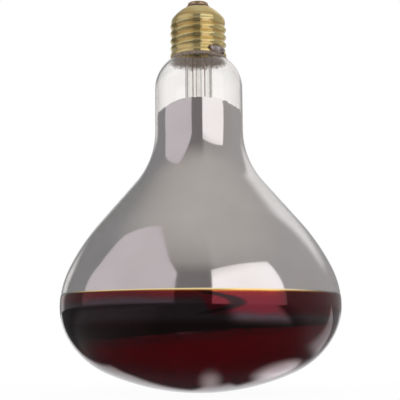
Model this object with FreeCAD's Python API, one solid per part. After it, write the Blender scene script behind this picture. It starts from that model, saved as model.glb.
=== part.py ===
import FreeCAD, Part
import math
import os

os.makedirs("parts", exist_ok=True)

# Infrared reflector heat lamp, drawn as it hangs: cap up, red face down.
# Millimetres. The origin is the crown of the solder on the centre contact, the lamp's
# axis is Z, and every "depth" is measured down from the origin along that axis. A "drop"
# is measured down from the rim of the cap, which the glass and all in it hang from, and a
# "rise" up from that rim.

# Blown glass bulb: arcs and one straight cone, tangent to each other, from the face up
glass_wall = 0.9
bulb_radius = 63.4            # the glass at its widest
bulb_widest_drop = 115.9
face_arc = 104.0              # the low dome of the face
haunch_arc = 37.2             # turns the face up into the side
haunch_end_angle = 60.0       # steepness of the side where the haunch ends
lower_side_arc = 28.6         # from the haunch to the widest ring
upper_side_arc = 38.2         # from the widest ring up
upper_side_turn = 25.5
flank_arc = 94.0              # long easy curve into the cone
cone_angle = 40.7             # between the cone and the lamp's axis
neck_sweep_arc = 37.6         # hollow curve from the cone into the neck
neck_radius = 20.4
shoulder_arc = 16.5           # round shoulder that closes the neck towards the cap
shoulder_gap = 1.04           # between the shoulder and the edge of the cap's rim
seal_neck_radius = 11.0       # narrow collar inside the cap
seal_fillet = 3.0
seal_rise = 5.0               # where the collar is fused to the stem's flare

# Skins: mirror metal inside the glass, red lacquer outside it
mirror_skin = 0.15
mirror_top_drop = 25.4
mirror_bottom_drop = 128.5
lacquer_skin = 0.15
lacquer_top_drop = 110.7

# Screw cap: thin brass with a rolled round thread
cap_length = 27.0
shell_wall = 0.3
thread_crest_radius = 13.1
thread_root_radius = 12.2
thread_pitch = 25.4 / 7
thread_crest_rise = 16.8      # one crest's height above the rim, on the +X side
thread_runout = 2.4           # length over which the thread fades at each end
lip_radius = 6.0              # the brass lip that grips the glass insulator
lip_depth = 3.1
dome_arc = 17.8
dome_start_angle = 28.0
dome_end_angle = 55.0
rows_per_pitch = 6            # rows of control points along one pitch of the thread
dome_rows = 4                 # along the dome
band_rows = 4                 # along the rim band
shell_columns = 16            # and round the shell
rim_radius = 13.15
rim_band = 2.2                # plain band below the thread
rim_flare_share = 0.6         # the upper share of the band, where it widens
seat_clearance = 0.02         # between pieces that are set, cast or rolled together

# Centre contact, its solder and the glass insulator under it
contact_radius = 4.85
contact_depth = 0.5           # flat of the eyelet below the solder's crown
contact_skirt = 1.7
contact_wall = 0.5
contact_edge = 0.8
contact_hole_radius = 1.0
solder_dome_radius = 2.2
solder_crown_radius = 0.8
solder_slope_radius = 1.64    # a point on the dome's rounded slope
solder_slope_depth = 0.15
insulator_depth = 9.2         # lower end of the glass inside the cap
insulator_band = 0.35         # height of the glass that shows under the contact
insulator_well_radius = 7.5   # hollow under the glass, at its mouth
insulator_well_neck = 4.1     # and at its top
insulator_well_top = 6.6

# Stem: flared tube with a flat press, exhaust tube and support rod
stem_radius = 6.25
stem_wall = 1.2
stem_tube_drop = 26.0         # where the round tube ends and the squeezed length begins
press_drop = 33.0             # top of the flat press
press_height = 8.0
press_half_width = 7.2
press_half_thickness = 2.1
stem_bore_drop = 30.0         # lower end of the tube's bore
stem_bore_end_width = 5.2
stem_bore_end_thickness = 1.9
exhaust_radius = 1.6
exhaust_wall = 0.6
exhaust_tip_rise = 13.5
blow_hole_radius = 0.9
blow_hole_drop = 32.5
rod_radius = 1.7
rod_length = 29.0
button_radius = 3.2
button_height = 4.6

# Wires: two leads in three lengths each, the filament and its supports
lead_spread = 4.0             # each lead from the stem's axis
mount_turn = -46.0            # turn of the press about the axis, side lead to the front right
outer_lead_radius = 0.25
lead_bend = 3.0
lead_end_depth = 0.25         # top of the centre lead, in its solder
lead_well_gap = 1.0           # under the insulator, where the centre lead turns up
lead_arch = 1.6               # height of the side lead's arch over the flange
lead_arch_bend = 1.5
lead_rim_gap = 0.07           # between the side lead and the rim it is folded over
lead_rim_rise = 0.66          # where the side lead reaches the shell's inside
seal_wire_radius = 0.3
inner_lead_radius = 0.45
seal_wire_start = 0.5         # below the top of the press
seal_wire_length = 5.5
inner_lead_straight = 4.0     # below the press, before the lead bends outwards
inner_lead_tail = 5.0         # straight end that the filament is clamped to
filament_ring_radius = 13.0
filament_drop = 76.0
filament_gap_half_angle = 30.0
coil_radius = 1.05
coil_wall = 0.35
support_count = 4
support_radius = 0.15
support_root = 1.02           # from the rod's axis to where the wire starts in the button
support_eye_gap = 0.1
support_curl = 300.0          # degrees of the eye at each support's end

# Side solder, where the side lead comes over the rim
solder_half_width = 5.0
solder_half_height = 1.6
solder_half_thickness = 1.45
solder_sink = 0.725           # how far its middle lies inside the rim's face
solder_rise = 2.1

# Cement between cap and glass
cement_rise = 6.0
cement_lap = 3.0              # how far it shows below the rim
cement_skin = 0.45            # thickness at the end of the lap

# Depths that follow the rim of the cap
bulb_widest_depth = cap_length + bulb_widest_drop
shoulder_depth = cap_length + math.sqrt(
    (shoulder_arc + shoulder_gap) ** 2 - (rim_radius - neck_radius + shoulder_arc) ** 2)
seal_depth = cap_length - seal_rise
mirror_top_depth = cap_length + mirror_top_drop
mirror_bottom_depth = cap_length + mirror_bottom_drop
lacquer_top_depth = cap_length + lacquer_top_drop
thread_crest_depth = cap_length - thread_crest_rise
stem_tube_end = cap_length + stem_tube_drop
stem_bore_end = cap_length + stem_bore_drop
press_start = cap_length + press_drop
press_end = press_start + press_height
exhaust_tip_depth = cap_length - exhaust_tip_rise
blow_hole_depth = cap_length + blow_hole_drop
seal_wire_top = press_start + seal_wire_start
filament_depth = cap_length + filament_drop

AXIS = FreeCAD.Vector(0, 0, 1)
CENTRE = FreeCAD.Vector(0, 0, 0)
RUN_SHARE = 0.45              # most of a straight run that the bend at one end may take


def spot(radius, depth, across=0.0):
    return FreeCAD.Vector(radius, across, -depth)


def closed_face(corners):
    return Part.Face(Part.makePolygon(corners + corners[:1]))


def spin(face, angle=360.0):
    return face.revolve(CENTRE, AXIS, angle)


def disc(radius, top, bottom, inner=0.0):
    """A plain round piece between two depths, with a hole if inner is given."""
    solid = Part.makeCylinder(radius, bottom - top, spot(0, bottom))
    if inner > 0:
        solid = solid.cut(Part.makeCylinder(inner, bottom - top, spot(0, bottom)))
    return solid


def tangent_path(start, heading, moves, inset=0.0):
    """Edges of a path of tangent arcs and lines in the X-Z plane.

    Each move is (radius, turn in degrees), a positive turn bending left, or (length,)
    for a straight run. An inset moves the whole path to its left by that much.
    """
    x = start[0] - inset * math.sin(heading)
    z = start[1] + inset * math.cos(heading)
    edges = []
    for move in moves:
        if len(move) == 1:
            end_x = x + move[0] * math.cos(heading)
            end_z = z + move[0] * math.sin(heading)
            edge = Part.LineSegment(FreeCAD.Vector(x, 0, z), FreeCAD.Vector(end_x, 0, end_z))
        else:
            turn = math.radians(move[1])
            side = math.copysign(1.0, turn)
            radius = move[0] - side * inset
            points = []
            for part in (0.0, 0.5, 1.0):
                way = heading + turn * part
                px = x + side * radius * (math.sin(way) - math.sin(heading))
                pz = z - side * radius * (math.cos(way) - math.cos(heading))
                points.append(FreeCAD.Vector(px, 0, pz))
            edge = Part.Arc(*points)
            end_x, end_z = points[2].x, points[2].z
            heading += turn
        edges.append(edge.toShape())
        x, z = end_x, end_z
    return edges


def ends(edges):
    """First and last point of a chain of edges that run in order."""
    return edges[0].valueAt(edges[0].FirstParameter), edges[-1].valueAt(edges[-1].LastParameter)


def band_face(outer, inner):
    """The flat face between two chains of edges that run side by side."""
    outer_start, outer_end = ends(outer)
    inner_start, inner_end = ends(inner)
    closing = [Part.LineSegment(outer_end, inner_end).toShape(),
               Part.LineSegment(inner_start, outer_start).toShape()]
    wire = Part.Wire(Part.__sortEdges__(outer + closing + inner))
    return Part.Face(wire)


def bulb_moves():
    """The bulb's outline from the pole of the face to the top of its collar."""
    steep = math.radians(haunch_end_angle)
    cone = math.radians(cone_angle)
    upper = math.radians(upper_side_turn)
    haunch_end_radius = bulb_radius - lower_side_arc * (1 - math.sin(steep))
    face_sine = (haunch_end_radius - haunch_arc * math.sin(steep)) / (face_arc - haunch_arc)
    face_angle = math.asin(face_sine)
    face_rise = face_arc * (1 - math.cos(face_angle))
    haunch_rise = haunch_arc * (math.cos(face_angle) - math.cos(steep))
    pole_depth = bulb_widest_depth + lower_side_arc * math.cos(steep) + haunch_rise + face_rise

    flank_start_radius = bulb_radius - upper_side_arc * (1 - math.cos(upper))
    cone_start_radius = flank_start_radius - flank_arc * (math.cos(upper) - math.cos(cone))
    cone_end_radius = neck_radius + neck_sweep_arc * (1 - math.cos(cone))
    cone_length = (cone_start_radius - cone_end_radius) / math.sin(cone)
    flank_rise = flank_arc * (math.sin(cone) - math.sin(upper))
    neck_start_depth = (bulb_widest_depth - upper_side_arc * math.sin(upper) - flank_rise
                        - cone_length * math.cos(cone) - neck_sweep_arc * math.sin(cone))

    shoulder_centre = neck_radius - shoulder_arc
    seal_cosine = (seal_neck_radius - shoulder_centre + seal_fillet) / (shoulder_arc + seal_fillet)
    seal_turn = math.degrees(math.acos(seal_cosine))
    collar_start = shoulder_depth - (shoulder_arc + seal_fillet) * math.sin(math.radians(seal_turn))
    moves = [
        (face_arc, math.degrees(face_angle)),
        (haunch_arc, haunch_end_angle - math.degrees(face_angle)),
        (lower_side_arc, 90 - haunch_end_angle),
        (upper_side_arc, upper_side_turn),
        (flank_arc, cone_angle - upper_side_turn),
        (cone_length,),
        (neck_sweep_arc, -cone_angle),
        (neck_start_depth - shoulder_depth,),
        (shoulder_arc, seal_turn),
        (seal_fillet, -seal_turn),
        (collar_start - seal_depth,),
    ]
    return moves, pole_depth


BULB_MOVES, POLE_DEPTH = bulb_moves()


def bulb_outline(inset):
    return tangent_path((0.0, -POLE_DEPTH), 0.0, BULB_MOVES, inset)


def bulb_band(outer_inset, inner_inset):
    return band_face(bulb_outline(outer_inset), bulb_outline(inner_inset))


def glass_filled():
    """Half section of everything inside the bulb's outer surface."""
    outline = bulb_outline(0.0)
    pole, top = ends(outline)
    top_centre = FreeCAD.Vector(0, 0, top.z)
    closing = [Part.LineSegment(top, top_centre).toShape(),
               Part.LineSegment(top_centre, pole).toShape()]
    return Part.Face(Part.Wire(Part.__sortEdges__(outline + closing)))


def between(top, bottom):
    """A half section wide enough for the bulb, between two depths."""
    wide = bulb_radius * 2
    return closed_face([spot(0, top), spot(wide, top), spot(wide, bottom), spot(0, bottom)])


def glass_bulb():
    return spin(bulb_band(0.0, glass_wall))


def reflector_film():
    band = bulb_band(glass_wall, glass_wall + mirror_skin)
    return spin(band.common(between(mirror_top_depth, mirror_bottom_depth)))


def red_coating():
    band = bulb_band(-lacquer_skin, 0.0)
    return spin(band.common(between(lacquer_top_depth, POLE_DEPTH + bulb_radius)))


# Screw cap

def shell_profile():
    """Mean line of the shell as (radius, depth, outward radius, outward depth, wave share).

    From the lip it is the dome's arc, the corner's arc, the threaded length and the rim band.
    """
    start = math.radians(dome_start_angle)
    end = math.radians(dome_end_angle)
    mean = (thread_crest_radius + thread_root_radius) / 2
    rows = []
    for step in range(dome_rows + 1):
        way = start + (end - start) * step / dome_rows
        radius = lip_radius + dome_arc * (math.sin(way) - math.sin(start))
        depth = lip_depth + dome_arc * (math.cos(start) - math.cos(way))
        rows.append([radius, depth, math.sin(way), -math.cos(way), 0.0])
    dome_radius, dome_depth = rows[-1][0], rows[-1][1]
    corner = (mean - dome_radius) / (1 - math.sin(end))
    way = (end + math.pi / 2) / 2
    rows.append([dome_radius + corner * (math.sin(way) - math.sin(end)),
                 dome_depth + corner * (math.cos(end) - math.cos(way)),
                 math.sin(way), -math.cos(way), 0.0])
    top = dome_depth + corner * math.cos(end)
    bottom = cap_length - rim_band
    count = max(rows_per_pitch, round((bottom - top) / thread_pitch * rows_per_pitch))
    for step in range(count + 1):
        depth = top + (bottom - top) * step / count
        share = min(1.0, min(depth - top, bottom - depth) / thread_runout)
        rows.append([mean, depth, 1.0, 0.0, share * share * (3 - 2 * share)])
    for step in range(1, band_rows + 1):
        share = min(1.0, step / band_rows / rim_flare_share)
        radius = mean + (rim_radius - mean) * share * share * (3 - 2 * share)
        rows.append([radius, bottom + rim_band * step / band_rows, 1.0, 0.0, 0.0])
    return rows


def smoothing(samples):
    """How much a cubic surface flattens a wave that its control points sample this often."""
    return 2 / 3 + math.cos(2 * math.pi / samples) / 3


def shell_surface(inward):
    """Closed surface round the shell; the thread is a wave that winds one pitch per turn.

    The rows of control points follow the shell's mean line. The wave lifts each of them
    by the cosine of its depth in pitches plus its turn round the axis.
    """
    height = (thread_crest_radius - thread_root_radius) / 2 / smoothing(rows_per_pitch)
    rows = shell_profile()
    poles = []
    for radius, depth, out_radius, out_depth, share in rows:
        row = []
        for column in range(shell_columns):
            turn = column / shell_columns
            phase = 2 * math.pi * ((depth - thread_crest_depth) / thread_pitch + turn)
            lift = share * height * math.cos(phase) - inward
            across = (radius + out_radius * lift) / smoothing(shell_columns)
            angle = 2 * math.pi * turn
            row.append(FreeCAD.Vector(across * math.cos(angle), across * math.sin(angle),
                                      -depth - out_depth * lift))
        poles.append(row)
    spans = len(rows) - 3
    surface = Part.BSplineSurface()
    surface.buildFromPolesMultsKnots(
        poles, [4] + [1] * (spans - 1) + [4], [1] * (shell_columns + 1),
        list(range(spans + 1)), list(range(shell_columns + 1)), False, True, 3, 3)
    return surface


def shell_section(inward):
    """Half section of the space inside the shell: its dome, then inside the thread's roots."""
    line = shell_surface(inward).vIso(1)
    line.segment(0, dome_rows)
    first, last = line.StartPoint, line.EndPoint
    edge = line.toShape()
    edge.rotate(CENTRE, AXIS, -math.degrees(math.atan2(first.y, first.x)))
    inside = thread_root_radius - inward
    corners = [
        spot(math.hypot(last.x, last.y), -last.z), spot(inside, -last.z),
        spot(inside, cap_length), spot(0, cap_length), spot(0, -first.z),
        spot(math.hypot(first.x, first.y), -first.z),
    ]
    closing = [Part.LineSegment(a, b).toShape() for a, b in zip(corners, corners[1:])]
    return Part.Face(Part.Wire(Part.__sortEdges__([edge] + closing)))


def sewn_solid(faces):
    sewn = Part.makeCompound(faces)
    sewn.sewShape()
    solid = Part.makeSolid(sewn.Shells[0])
    if solid.Volume < 0:
        solid.reverse()
    return solid


def shell_filled():
    """The space that the shell's outer surface encloses, for cutting what lies against it."""
    outer = shell_surface(0.0)
    ends_round = [outer.uIso(bound).toShape() for bound in outer.bounds()[:2]]
    return sewn_solid([outer.toShape()] + [Part.Face(Part.Wire([ring])) for ring in ends_round])


def screw_shell():
    surfaces = [shell_surface(0.0), shell_surface(shell_wall)]
    faces = [surface.toShape() for surface in surfaces]
    for end in (0, 1):
        rings = [surface.uIso(surface.bounds()[end]).toShape() for surface in surfaces]
        faces.append(Part.makeRuledSurface(*rings))
    return sewn_solid(faces)


def centre_contact():
    """Eyelet pressed from brass: flat top, rounded edge, open below, with a hole for the lead."""
    bottom = contact_depth + contact_skirt
    block = disc(contact_radius, contact_depth, bottom)
    top_edge = [edge for edge in block.Edges
                if abs(edge.BoundBox.ZMin + contact_depth) < 1e-6 and edge.BoundBox.ZLength < 1e-6]
    block = block.makeFillet(contact_edge, top_edge)
    hollow = disc(contact_radius - contact_wall, contact_depth + contact_wall, bottom)
    hole = disc(contact_hole_radius, contact_depth, bottom)
    return block.cut(hollow).cut(hole)


def centre_solder():
    """Low dome of solder with a plug down the contact's hole."""
    plug = contact_hole_radius - seat_clearance
    below = contact_depth + contact_wall
    slope = spot(solder_slope_radius, solder_slope_depth)
    edges = [
        Part.LineSegment(spot(0, 0), spot(solder_crown_radius, 0)),
        Part.Arc(spot(solder_crown_radius, 0), slope, spot(solder_dome_radius, contact_depth)),
        Part.LineSegment(spot(solder_dome_radius, contact_depth), spot(plug, contact_depth)),
        Part.LineSegment(spot(plug, contact_depth), spot(plug, below)),
        Part.LineSegment(spot(plug, below), spot(0, below)),
        Part.LineSegment(spot(0, below), spot(0, 0)),
    ]
    return spin(Part.Face(Part.Wire([edge.toShape() for edge in edges])))


def base_insulator():
    """Moulded glass: a spigot in the contact, the band that shows, and the dome under the brass."""
    spigot = contact_radius - contact_wall - seat_clearance
    spigot_top = contact_depth + contact_wall + seat_clearance
    band_top = contact_depth + contact_skirt + seat_clearance
    band_bottom = band_top + insulator_band
    under_lip = lip_depth + shell_wall
    neck = lip_radius - shell_wall
    dome = shell_section(shell_wall + seat_clearance).common(between(under_lip, insulator_depth))
    stalk = closed_face([
        spot(0, spigot_top), spot(spigot, spigot_top), spot(spigot, band_top),
        spot(contact_radius, band_top), spot(neck, band_bottom), spot(neck, under_lip),
        spot(neck, under_lip + shell_wall), spot(0, under_lip + shell_wall),
    ])
    well = closed_face([
        spot(0, spigot_top), spot(contact_hole_radius, spigot_top),
        spot(contact_hole_radius, insulator_well_top),
        spot(insulator_well_neck, insulator_well_top),
        spot(insulator_well_radius, insulator_depth), spot(0, insulator_depth),
    ])
    return spin(dome).fuse(spin(stalk)).cut(spin(well)).removeSplitter()


def base_cement():
    """Cement ring cast between the glass collar and the shell, with a lap below the rim."""
    inside = thread_root_radius - shell_wall - seat_clearance
    rim_inside = rim_radius - shell_wall - seat_clearance
    below_rim = cap_length + seat_clearance
    lap_end = cap_length + cement_lap
    shoulder_rise = shoulder_depth - lap_end
    glass_there = neck_radius - shoulder_arc + math.sqrt(shoulder_arc ** 2 - shoulder_rise ** 2)
    block = closed_face([
        spot(seal_neck_radius, cap_length - cement_rise), spot(inside, cap_length - cement_rise),
        spot(inside, cap_length - rim_band), spot(rim_inside, cap_length),
        spot(rim_inside, below_rim), spot(glass_there + cement_skin, lap_end),
        spot(seal_neck_radius, lap_end),
    ])
    return spin(block.cut(glass_filled()).Faces[0])


# Stem

def stem_profile(inset):
    """One side of the flared tube, from the tube's lower end up to the flange's rim."""
    seat = glass_wall + seat_clearance
    flare_arc = seal_neck_radius - seat - stem_radius
    rise = stem_tube_end - seal_depth - flare_arc
    moves = [(rise,), (flare_arc, -90.0), (seat,)]
    return tangent_path((stem_radius, -stem_tube_end), math.pi / 2, moves, inset)


def oval(half_width, half_thickness, depth):
    """A level oval, wide along X."""
    curve = Part.Ellipse(spot(half_width, depth), spot(0, depth, half_thickness), spot(0, depth))
    return Part.Wire([curve.toShape()])


def ring(radius, depth):
    return Part.Wire([Part.Circle(spot(0, depth), AXIS, radius).toShape()])


def stem_flare():
    """Flared glass tube, squeezed flat at its lower end round the leads."""
    tube = spin(band_face(stem_profile(0.0), stem_profile(stem_wall)))
    outside = Part.makeLoft([ring(stem_radius, stem_tube_end),
                             oval(press_half_width, press_half_thickness, press_start)], True, True)
    inside = Part.makeLoft([ring(stem_radius - stem_wall, stem_tube_end),
                            oval(stem_bore_end_width, stem_bore_end_thickness, stem_bore_end)],
                           True, True)
    press = Part.Face(oval(press_half_width, press_half_thickness, press_start))
    press = press.extrude(FreeCAD.Vector(0, 0, press_start - press_end))
    solid = tube.fuse(outside.cut(inside)).fuse(press)
    drop = Part.makeCylinder(blow_hole_radius, blow_hole_depth - stem_bore_end,
                             spot(0, blow_hole_depth))
    side = Part.makeCylinder(blow_hole_radius, press_half_thickness * 2,
                             spot(0, blow_hole_depth), FreeCAD.Vector(0, 1, 0))
    for cutter in [drop, side] + [lead_wires[name] for name in lead_wires]:
        solid = solid.cut(cutter)
    return solid


def exhaust_tube():
    """Thin glass tube up the stem, closed by melting at its upper tip."""
    start = stem_bore_end
    reach = start - exhaust_tip_depth - exhaust_radius
    outer = tangent_path((exhaust_radius, -start), math.pi / 2, [(reach,), (exhaust_radius, 90.0)])
    inner = tangent_path((exhaust_radius, -start), math.pi / 2, [(reach,), (exhaust_radius, 90.0)],
                         exhaust_wall)
    return spin(band_face(outer, inner))


def arbor_rod():
    """Solid glass rod from the press, ending in a flattened button that holds the supports."""
    button_middle = press_end + rod_length
    edges = [
        Part.LineSegment(spot(0, press_end), spot(rod_radius, press_end)),
        Part.LineSegment(spot(rod_radius, press_end), spot(rod_radius, button_middle - button_height / 2)),
        Part.Arc(spot(rod_radius, button_middle - button_height / 2), spot(button_radius, button_middle),
                 spot(rod_radius, button_middle + button_height / 2)),
        Part.LineSegment(spot(rod_radius, button_middle + button_height / 2),
                         spot(0, button_middle + button_height / 2)),
        Part.LineSegment(spot(0, button_middle + button_height / 2), spot(0, press_end)),
    ]
    solid = spin(Part.Face(Part.Wire([edge.toShape() for edge in edges])))
    for wire in support_wires:
        solid = solid.cut(wire)
    return solid


# Wires

def bent_wire(points, radius, bend):
    """Round wire along straight runs; each corner is an arc of the bend radius, less where tight."""
    edges = []
    last = points[0]
    for before, corner, after in zip(points, points[1:], points[2:]):
        to_before = (before - corner).normalize()
        to_after = (after - corner).normalize()
        half = to_before.getAngle(to_after) / 2
        room = RUN_SHARE * min(before.distanceToPoint(corner), after.distanceToPoint(corner))
        cut_back = min(room, bend / math.tan(half))
        arc_radius = cut_back * math.tan(half)
        middle_way = (to_before + to_after).normalize()
        start = corner + to_before * cut_back
        finish = corner + to_after * cut_back
        middle = corner + middle_way * (arc_radius / math.sin(half) - arc_radius)
        edges.append(Part.LineSegment(last, start).toShape())
        edges.append(Part.Arc(start, middle, finish).toShape())
        last = finish
    edges.append(Part.LineSegment(last, points[-1]).toShape())
    path = Part.Wire(edges)
    section = Part.Wire([Part.Circle(points[0], points[1] - points[0], radius).toShape()])
    return path.makePipeShell([section], True, True)


def outer_lead_centre():
    """Copper lead up the stem, in over the exhaust tip and up through the contact."""
    return bent_wire([spot(-lead_spread, seal_wire_top), spot(-lead_spread, exhaust_tip_depth),
                      spot(0, insulator_well_top + lead_well_gap), spot(0, lead_end_depth)],
                     outer_lead_radius, lead_bend)


def outer_lead_side():
    """Copper lead up the stem, over the flange, down beside the collar and out over the rim."""
    over_flange = seal_depth - stem_wall - lead_arch
    beside = (seal_neck_radius + thread_root_radius - shell_wall) / 2
    under_rim = cap_length + outer_lead_radius + lead_rim_gap * 2
    inside_rim = rim_radius - shell_wall - outer_lead_radius - lead_rim_gap
    outside_rim = rim_radius + outer_lead_radius + lead_rim_gap
    return bent_wire([
        spot(lead_spread, seal_wire_top), spot(lead_spread, over_flange), spot(beside, over_flange),
        spot(beside, cap_length - rim_band), spot(inside_rim, cap_length - lead_rim_rise),
        spot(inside_rim, under_rim), spot(outside_rim, under_rim),
        spot(outside_rim, cap_length - solder_rise),
    ], outer_lead_radius, lead_arch_bend)


def seal_wire(side):
    return Part.makeCylinder(seal_wire_radius, seal_wire_length,
                             spot(side * lead_spread, seal_wire_top + seal_wire_length))


def inner_lead(side):
    """Stiff nickel lead from the press down and forward to the filament's end."""
    gap = math.radians(filament_gap_half_angle)
    reach_x = side * filament_ring_radius * math.sin(gap)
    reach_y = filament_ring_radius * math.cos(gap)
    return bent_wire([
        spot(side * lead_spread, seal_wire_top + seal_wire_length),
        spot(side * lead_spread, press_end + inner_lead_straight),
        spot(reach_x, filament_depth - inner_lead_tail, reach_y),
        spot(reach_x, filament_depth + coil_radius, reach_y),
    ], inner_lead_radius, lead_bend)


def filament():
    """The coiled tungsten wire, drawn as the tube that its close turns make, round an open ring."""
    rounds = [Part.Face(Part.Wire([Part.Circle(spot(filament_ring_radius, filament_depth),
                                               FreeCAD.Vector(0, 1, 0), radius).toShape()]))
              for radius in (coil_radius, coil_radius - coil_wall)]
    section = rounds[0].cut(rounds[1]).Faces[0]
    clear = math.degrees((inner_lead_radius + seat_clearance) / filament_ring_radius)
    start = 90 + filament_gap_half_angle + clear
    sweep = 360 - 2 * (filament_gap_half_angle + clear)
    coil = spin(section, sweep)
    coil.rotate(CENTRE, AXIS, start)
    return coil


def support_wire(number):
    """Molybdenum wire from the glass button, its end curled into an eye round the filament."""
    eye_radius = coil_radius + support_radius + support_eye_gap
    start = spot(support_root, press_end + rod_length)
    middle = spot(filament_ring_radius, filament_depth)
    way = middle - start
    lean = math.asin(eye_radius / way.Length)
    slope = math.atan2(way.z, way.x) + lean
    curl = []
    for angle in (0, support_curl / 2, support_curl):
        bearing = slope + math.pi / 2 - math.radians(angle)
        curl.append(middle + FreeCAD.Vector(math.cos(bearing), 0, math.sin(bearing)) * eye_radius)
    path = Part.Wire([Part.LineSegment(start, curl[0]).toShape(), Part.Arc(*curl).toShape()])
    section = Part.Wire([Part.Circle(start, curl[0] - start, support_radius).toShape()])
    solid = path.makePipeShell([section], True, True)
    open_side = 360 - 2 * filament_gap_half_angle
    turn = 90 + filament_gap_half_angle + open_side * (number + 0.5) / support_count
    solid.rotate(CENTRE, AXIS, turn)
    return solid


def side_solder():
    """Smear of solder over the rim where the side lead ends, wider than it is tall."""
    ball = Part.makeSphere(1.0)
    stretch = FreeCAD.Matrix()
    stretch.A11 = solder_half_thickness
    stretch.A22 = solder_half_width
    stretch.A33 = solder_half_height
    blob = ball.transformGeometry(stretch)
    blob.translate(spot(rim_radius - solder_sink, cap_length - solder_rise))
    blob.rotate(CENTRE, AXIS, mount_turn)
    return blob.cut(shell_filled()).cut(pieces["outer_lead_side"])


lead_wires = {
    "outer_lead_centre": outer_lead_centre(),
    "outer_lead_side": outer_lead_side(),
    "seal_wire_centre": seal_wire(-1),
    "seal_wire_side": seal_wire(1),
    "inner_lead_centre": inner_lead(-1),
    "inner_lead_side": inner_lead(1),
}
support_wires = [support_wire(number) for number in range(support_count)]

# The stem and its wires are drawn with the leads on the X axis, then turned together
turned = dict(lead_wires)
turned["stem_flare"] = stem_flare()
turned["exhaust_tube"] = exhaust_tube()
turned["arbor_rod"] = arbor_rod()
turned["filament"] = filament()
for number, wire in enumerate(support_wires):
    turned["support_wire_%d" % (number + 1)] = wire
for solid in turned.values():
    solid.rotate(CENTRE, AXIS, mount_turn)

pieces = dict(turned)
pieces["glass_bulb"] = glass_bulb()
pieces["reflector_film"] = reflector_film()
pieces["red_coating"] = red_coating()
pieces["screw_shell"] = screw_shell()
pieces["base_insulator"] = base_insulator()
pieces["centre_contact"] = centre_contact()
pieces["centre_solder"] = centre_solder().cut(pieces["outer_lead_centre"])
pieces["side_solder"] = side_solder()
pieces["base_cement"] = base_cement().cut(pieces["outer_lead_side"])

for name, solid in pieces.items():
    solid.exportStep("parts/%s.step" % name)
    print("%-18s solids %d valid %s volume %.2f" % (
        name, len(solid.Solids), solid.isValid(), solid.Volume))
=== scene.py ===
import math

import bpy
import numpy as np
from mathutils import Matrix, Vector


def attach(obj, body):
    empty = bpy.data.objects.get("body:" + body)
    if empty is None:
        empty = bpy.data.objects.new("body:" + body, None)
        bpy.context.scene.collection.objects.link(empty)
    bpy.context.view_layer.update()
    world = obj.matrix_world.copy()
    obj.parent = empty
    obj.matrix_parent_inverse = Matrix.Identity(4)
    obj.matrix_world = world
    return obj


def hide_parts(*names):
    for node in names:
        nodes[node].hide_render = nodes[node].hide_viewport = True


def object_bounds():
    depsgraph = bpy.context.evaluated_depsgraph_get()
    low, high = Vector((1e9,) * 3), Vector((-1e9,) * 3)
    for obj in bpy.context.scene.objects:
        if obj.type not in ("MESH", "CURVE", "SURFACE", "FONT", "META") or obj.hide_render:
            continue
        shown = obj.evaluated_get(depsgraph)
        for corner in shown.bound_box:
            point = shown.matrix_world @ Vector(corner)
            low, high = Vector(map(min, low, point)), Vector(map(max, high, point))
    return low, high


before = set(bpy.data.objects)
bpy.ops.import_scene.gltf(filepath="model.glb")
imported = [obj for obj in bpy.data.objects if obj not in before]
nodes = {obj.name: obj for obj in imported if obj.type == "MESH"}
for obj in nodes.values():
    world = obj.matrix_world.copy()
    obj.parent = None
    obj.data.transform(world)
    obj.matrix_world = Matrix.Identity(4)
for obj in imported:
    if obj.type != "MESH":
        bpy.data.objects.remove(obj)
cad_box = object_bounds()
scene = bpy.context.scene

# The set: the lamp stands on its face on a white floor inside a light tent, with one bright
# paper panel to the left of the camera and a brighter one to the right. The camera looks
# through the tent; mirror, glass and brass reflect it, and the floor keeps the lamp's shadow.


def add_node(tree, kind, at=None, **settings):
    """A new node with its properties set, and its input sockets from the at dictionary."""
    made = tree.nodes.new(kind)
    for key, value in settings.items():
        setattr(made, key, value)
    for key, value in (at or {}).items():
        if isinstance(value, bpy.types.NodeSocket):
            tree.links.new(value, made.inputs[key])
        else:
            made.inputs[key].default_value = value
    return made


def bare_tree(block):
    """The emptied node tree of a material or a world."""
    block.use_nodes = True
    block.node_tree.nodes.clear()
    return block.node_tree


def object_place(tree):
    """The Object coordinates' socket."""
    return add_node(tree, "ShaderNodeTexCoord").outputs["Object"]


def split(tree, place):
    """The X, Y and Z sockets of a place."""
    return add_node(tree, "ShaderNodeSeparateXYZ", {0: place}).outputs


def calculate(tree, operation, first, second=0.0, third=0.0, clamp=False):
    """The result socket of one arithmetic node."""
    made = add_node(tree, "ShaderNodeMath", {0: first, 1: second, 2: third},
                    operation=operation, use_clamp=clamp)
    return made.outputs[0]


def ramp(tree, share, stops):
    """The colour socket of a colour ramp with stops of (place, colour)."""
    made = add_node(tree, "ShaderNodeValToRGB", {"Fac": share})
    while len(made.color_ramp.elements) < len(stops):
        made.color_ramp.elements.new(0.5)
    for element, (place, colour) in zip(made.color_ramp.elements, stops):
        element.position = place
        element.color = (*colour, 1.0)
    return made.outputs[0]


def ease(tree, value, low, high):
    """0 below low, 1 above high, with a smooth rise between; high may be the smaller."""
    made = add_node(tree, "ShaderNodeMapRange", {"Value": value, "From Min": low, "From Max": high},
                    interpolation_type="SMOOTHSTEP")
    return made.outputs[0]


def blend(tree, share, first, second):
    """The colour socket that goes from the first colour to the second."""
    made = add_node(tree, "ShaderNodeMix", {0: share, 6: first, 7: second}, data_type="RGBA")
    return made.outputs[2]


def mirrored(tree):
    """1 for a look by way of a mirror, gloss or matt surface, 0 for the straight look."""
    path = add_node(tree, "ShaderNodeLightPath")
    return calculate(tree, "ADD", path.outputs["Glossy Depth"], path.outputs["Diffuse Depth"],
                     clamp=True)


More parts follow.
